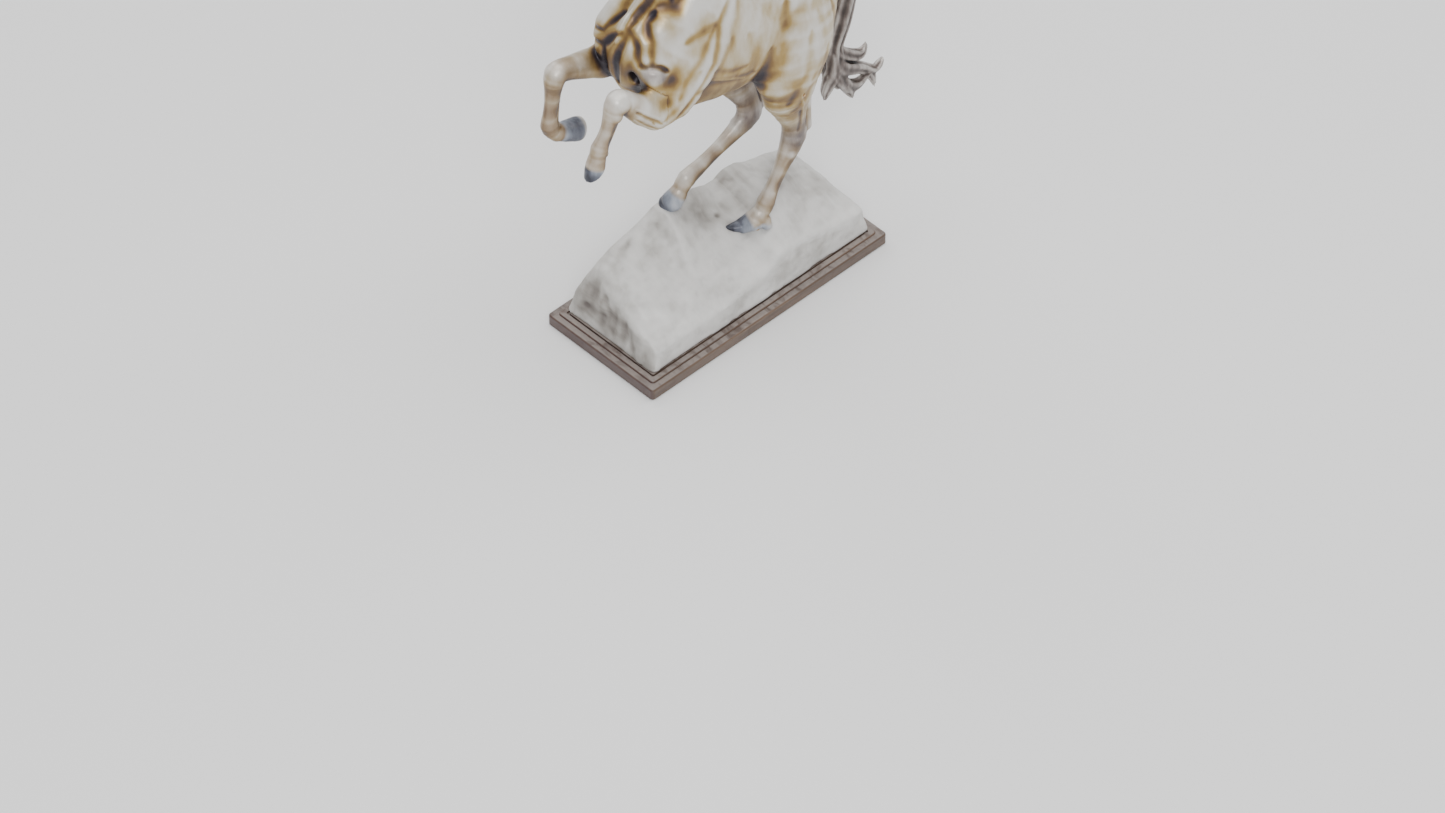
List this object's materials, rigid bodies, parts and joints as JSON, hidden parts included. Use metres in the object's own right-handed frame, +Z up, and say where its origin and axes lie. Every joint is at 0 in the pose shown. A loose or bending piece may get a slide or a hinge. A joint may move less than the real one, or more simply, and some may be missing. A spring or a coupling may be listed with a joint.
{
  "type": "rearing horse statue",
  "caption": "Rearing horse in pale patinated bronze, standing on its hind hooves on a stone rock fixed to a moulded wooden plinth.",
  "frame": {"origin": "middle of the felt pad's flat underside, where the statue rests", "axes": "+Z up, the horse faces -X, its left side is -Y and its tail is towards +X"},
  "size_m": [0.3352, 0.117, 0.4942],
  "materials": {
    "felt": "matte",
    "plinth_wood": "satin",
    "stone": "matte",
    "steel": "satin",
    "yellow_brass": "satin",
    "stud_bronze": "satin",
    "pale_bronze": "polished",
    "dark_bronze": "satin"
  },
  "bodies": {
    "root": {"base_screw_washers": "steel", "base_screws": "steel", "core_plug": "pale_bronze", "ear_left": "pale_bronze", "ear_right": "pale_bronze", "felt_pad": "felt", "foreleg_left": "pale_bronze", "foreleg_right": "pale_bronze", "forelock": "dark_bronze", "head": "pale_bronze", "hind_leg_left": "pale_bronze", "hind_leg_right": "pale_bronze", "hoof_stud_left": "stud_bronze", "hoof_stud_right": "stud_bronze", "joint_pins": "stud_bronze", "mane": "dark_bronze", "neck": "pale_bronze", "plinth": "plinth_wood", "rock": "stone", "rock_inserts": "yellow_brass", "stud_nuts": "steel", "stud_washers": "steel", "tail": "dark_bronze", "torso": "pale_bronze"}
  },
  "joints": []
}
